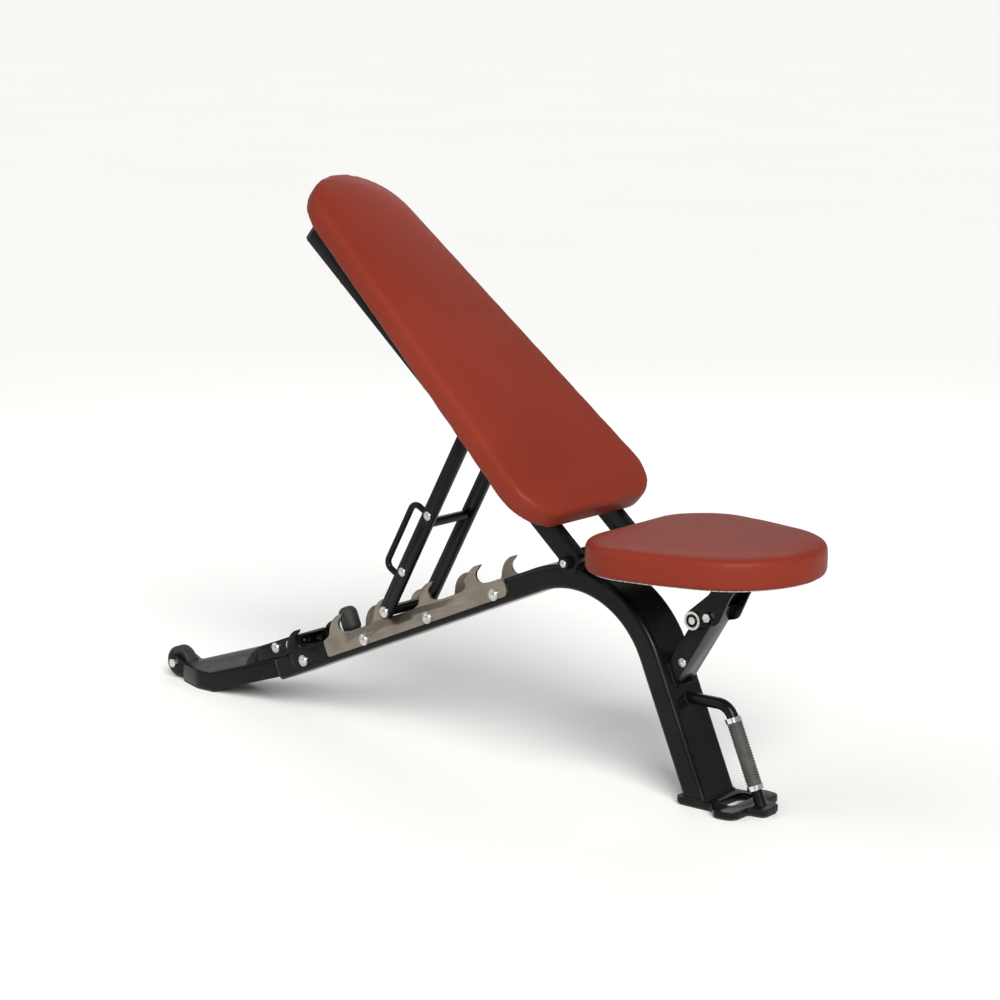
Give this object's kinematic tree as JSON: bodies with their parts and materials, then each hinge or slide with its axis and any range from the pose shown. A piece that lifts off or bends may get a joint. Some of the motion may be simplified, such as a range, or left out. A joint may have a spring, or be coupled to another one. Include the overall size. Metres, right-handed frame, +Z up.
{
  "type": "adjustable weight bench",
  "caption": "Padded weight bench with a reclining backrest held by a prop in a toothed ladder, a tilting seat, a lifting handle and a transport wheel.",
  "frame": {"origin": "on the floor, where the centre line of the front leg meets it, in the middle of the front sole", "axes": "+X from the rear wheel to the front foot, +Y across the bench, +Z up"},
  "size_m": [1.4227, 0.356, 0.9689],
  "materials": {
    "vinyl": "oxblood red grained vinyl, satin",
    "black_paint": "gloss black powder coat",
    "tail_cover": "satin grey coat",
    "ladder_steel": "warm brushed stainless steel",
    "bright_steel": "bright zinc plate",
    "chrome": "polished chrome",
    "grip": "ribbed grey rubber",
    "rubber": "matt black rubber",
    "hard_plastic": "moulded black plastic",
    "board": "black stained plywood"
  },
  "bodies": {
    "frame": {"main_beam": "black_paint", "beam_end_plug": "rubber", "tail_tube": "black_paint", "tail_cover": "tail_cover", "tail_bracket": "black_paint", "tail_bracket_bolts": "bright_steel", "rear_sole": "rubber", "wheel_cheeks": "black_paint", "wheel_axle": "bright_steel", "ladder_plate_near": "ladder_steel", "ladder_plate_far": "ladder_steel", "rear_catch_near": "black_paint", "rear_catch_far": "black_paint", "ladder_bolts": "bright_steel", "rest_bumper": "rubber", "front_foot": "black_paint", "front_sole": "rubber", "handle_stub": "black_paint", "handle_elbow": "black_paint", "handle_tube": "black_paint", "handle_grip": "grip", "handle_collar_top": "chrome", "handle_collar_bottom": "chrome", "pivot_saddle": "black_paint", "pivot_tube": "black_paint", "pivot_bush_near": "bright_steel", "pivot_bush_far": "bright_steel", "seat_post": "black_paint", "seat_post_bolts": "bright_steel", "seat_pivot_tube": "black_paint", "seat_lock_bolt": "bright_steel"},
    "wheel": {"wheel_hub": "hard_plastic", "wheel_tyre": "rubber"},
    "backrest": {"back_rail_near": "black_paint", "back_rail_far": "black_paint", "back_cross_low": "black_paint", "back_cross_high": "black_paint", "back_board": "board", "back_pad": "vinyl", "back_pad_screws": "bright_steel", "rail_caps": "rubber", "back_pivot_pin": "bright_steel", "prop_pin": "bright_steel", "prop_spacers": "bright_steel"},
    "prop": {"prop_bar_near": "black_paint", "prop_bar_far": "black_paint", "prop_rung": "black_paint", "prop_rod": "black_paint", "prop_rod_bolts": "bright_steel", "prop_handle": "black_paint", "prop_handle_bolts": "bright_steel"},
    "seat": {"seat_carrier": "black_paint", "seat_board": "board", "seat_pad": "vinyl", "seat_pad_screws": "bright_steel", "seat_pivot_pin": "bright_steel"},
    "knob": {"seat_knob": "hard_plastic"}
  },
  "joints": [
    {"name": "wheel_spin", "type": "hinge", "parent": "frame", "child": "wheel", "pos_m": [-1.21474, 0, 0.031], "axis": [0, 1, 0], "continuous": true},
    {"name": "back_recline", "type": "hinge", "parent": "frame", "child": "backrest", "pos_m": [-0.2241, 0, 0.37637], "axis": [0, 1, 0], "range_deg": [0, 41.8]},
    {"name": "prop_swing", "type": "hinge", "parent": "backrest", "child": "prop", "pos_m": [-0.44832, 0, 0.58329], "axis": [0, 1, 0], "range_deg": [-34, 0]},
    {"name": "seat_tilt", "type": "hinge", "parent": "frame", "child": "seat", "pos_m": [-0.021, 0, 0.301], "axis": [0, -1, 0], "range_deg": [0, 12]},
    {"name": "seat_knob_turn", "type": "hinge", "parent": "frame", "child": "knob", "pos_m": [0.008, 0.00004, 0.31], "axis": [0, 1, 0], "range_deg": [0, 180]}
  ],
  "couplings": [
    {"joint": "prop_swing", "follows": "back_recline", "ratio": -0.8}
  ]
}
